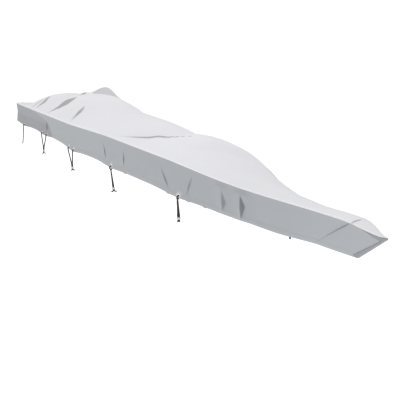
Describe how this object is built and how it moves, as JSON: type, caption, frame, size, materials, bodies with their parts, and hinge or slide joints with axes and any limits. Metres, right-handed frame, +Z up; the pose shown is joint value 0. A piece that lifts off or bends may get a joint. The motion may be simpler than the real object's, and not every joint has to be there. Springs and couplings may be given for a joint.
{
  "type": "boat cover",
  "caption": "Fitted cloth cover for an open motor boat, with a raised crown, a side skirt with metal eyelets, and short cord ties with rings.",
  "frame": {"origin": "the inner face of the top, on the centre line, 1.20 m forward of the transom, where the cloth rests on the boat's highest middle part", "axes": "+X along the boat towards the bow, +Y to port, +Z up"},
  "size_m": [5.8001, 2.26, 1.2247],
  "materials": {
    "top_cloth": "coated woven polyester, pale grey",
    "skirt_cloth": "coated woven polyester, mid grey",
    "nose_cloth": "woven strip, dark grey",
    "eyelet_metal": "plated and rolled",
    "cord": "black braid",
    "ring_plastic": "moulded"
  },
  "bodies": {
    "root": {"top_panel": "top_cloth", "skirt_starboard": "skirt_cloth", "skirt_port": "skirt_cloth", "skirt_transom": "skirt_cloth", "nose_band": "nose_cloth", "eyelet_starboard_1": "eyelet_metal", "eyelet_starboard_2": "eyelet_metal", "eyelet_starboard_3": "eyelet_metal", "eyelet_starboard_4": "eyelet_metal", "eyelet_starboard_5": "eyelet_metal", "eyelet_starboard_6": "eyelet_metal", "eyelet_starboard_7": "eyelet_metal", "eyelet_port_1": "eyelet_metal", "eyelet_port_2": "eyelet_metal", "eyelet_port_3": "eyelet_metal", "eyelet_port_4": "eyelet_metal", "eyelet_port_5": "eyelet_metal", "eyelet_port_6": "eyelet_metal", "eyelet_port_7": "eyelet_metal", "tie_1_starboard_strand_1": "cord", "tie_2_starboard_strand_1": "cord", "tie_2_starboard_strand_2": "cord", "tie_3_starboard_strand_1": "cord", "tie_3_starboard_strand_2": "cord", "tie_4_starboard_strand_1": "cord", "tie_4_starboard_strand_2": "cord", "tie_5_starboard_strand_1": "cord", "tie_5_starboard_strand_2": "cord", "tie_1_port_strand_1": "cord", "tie_2_port_strand_1": "cord", "tie_2_port_strand_2": "cord", "tie_3_port_strand_1": "cord", "tie_3_port_strand_2": "cord", "tie_4_port_strand_1": "cord", "tie_4_port_strand_2": "cord", "tie_5_port_strand_1": "cord", "tie_5_port_strand_2": "cord", "tie_1_starboard_ring": "ring_plastic", "tie_2_starboard_ring": "ring_plastic", "tie_3_starboard_ring": "ring_plastic", "tie_4_starboard_ring": "ring_plastic", "tie_5_starboard_ring": "ring_plastic", "tie_1_port_ring": "ring_plastic", "tie_2_port_ring": "ring_plastic", "tie_3_port_ring": "ring_plastic", "tie_4_port_ring": "ring_plastic", "tie_5_port_ring": "ring_plastic"}
  },
  "joints": []
}
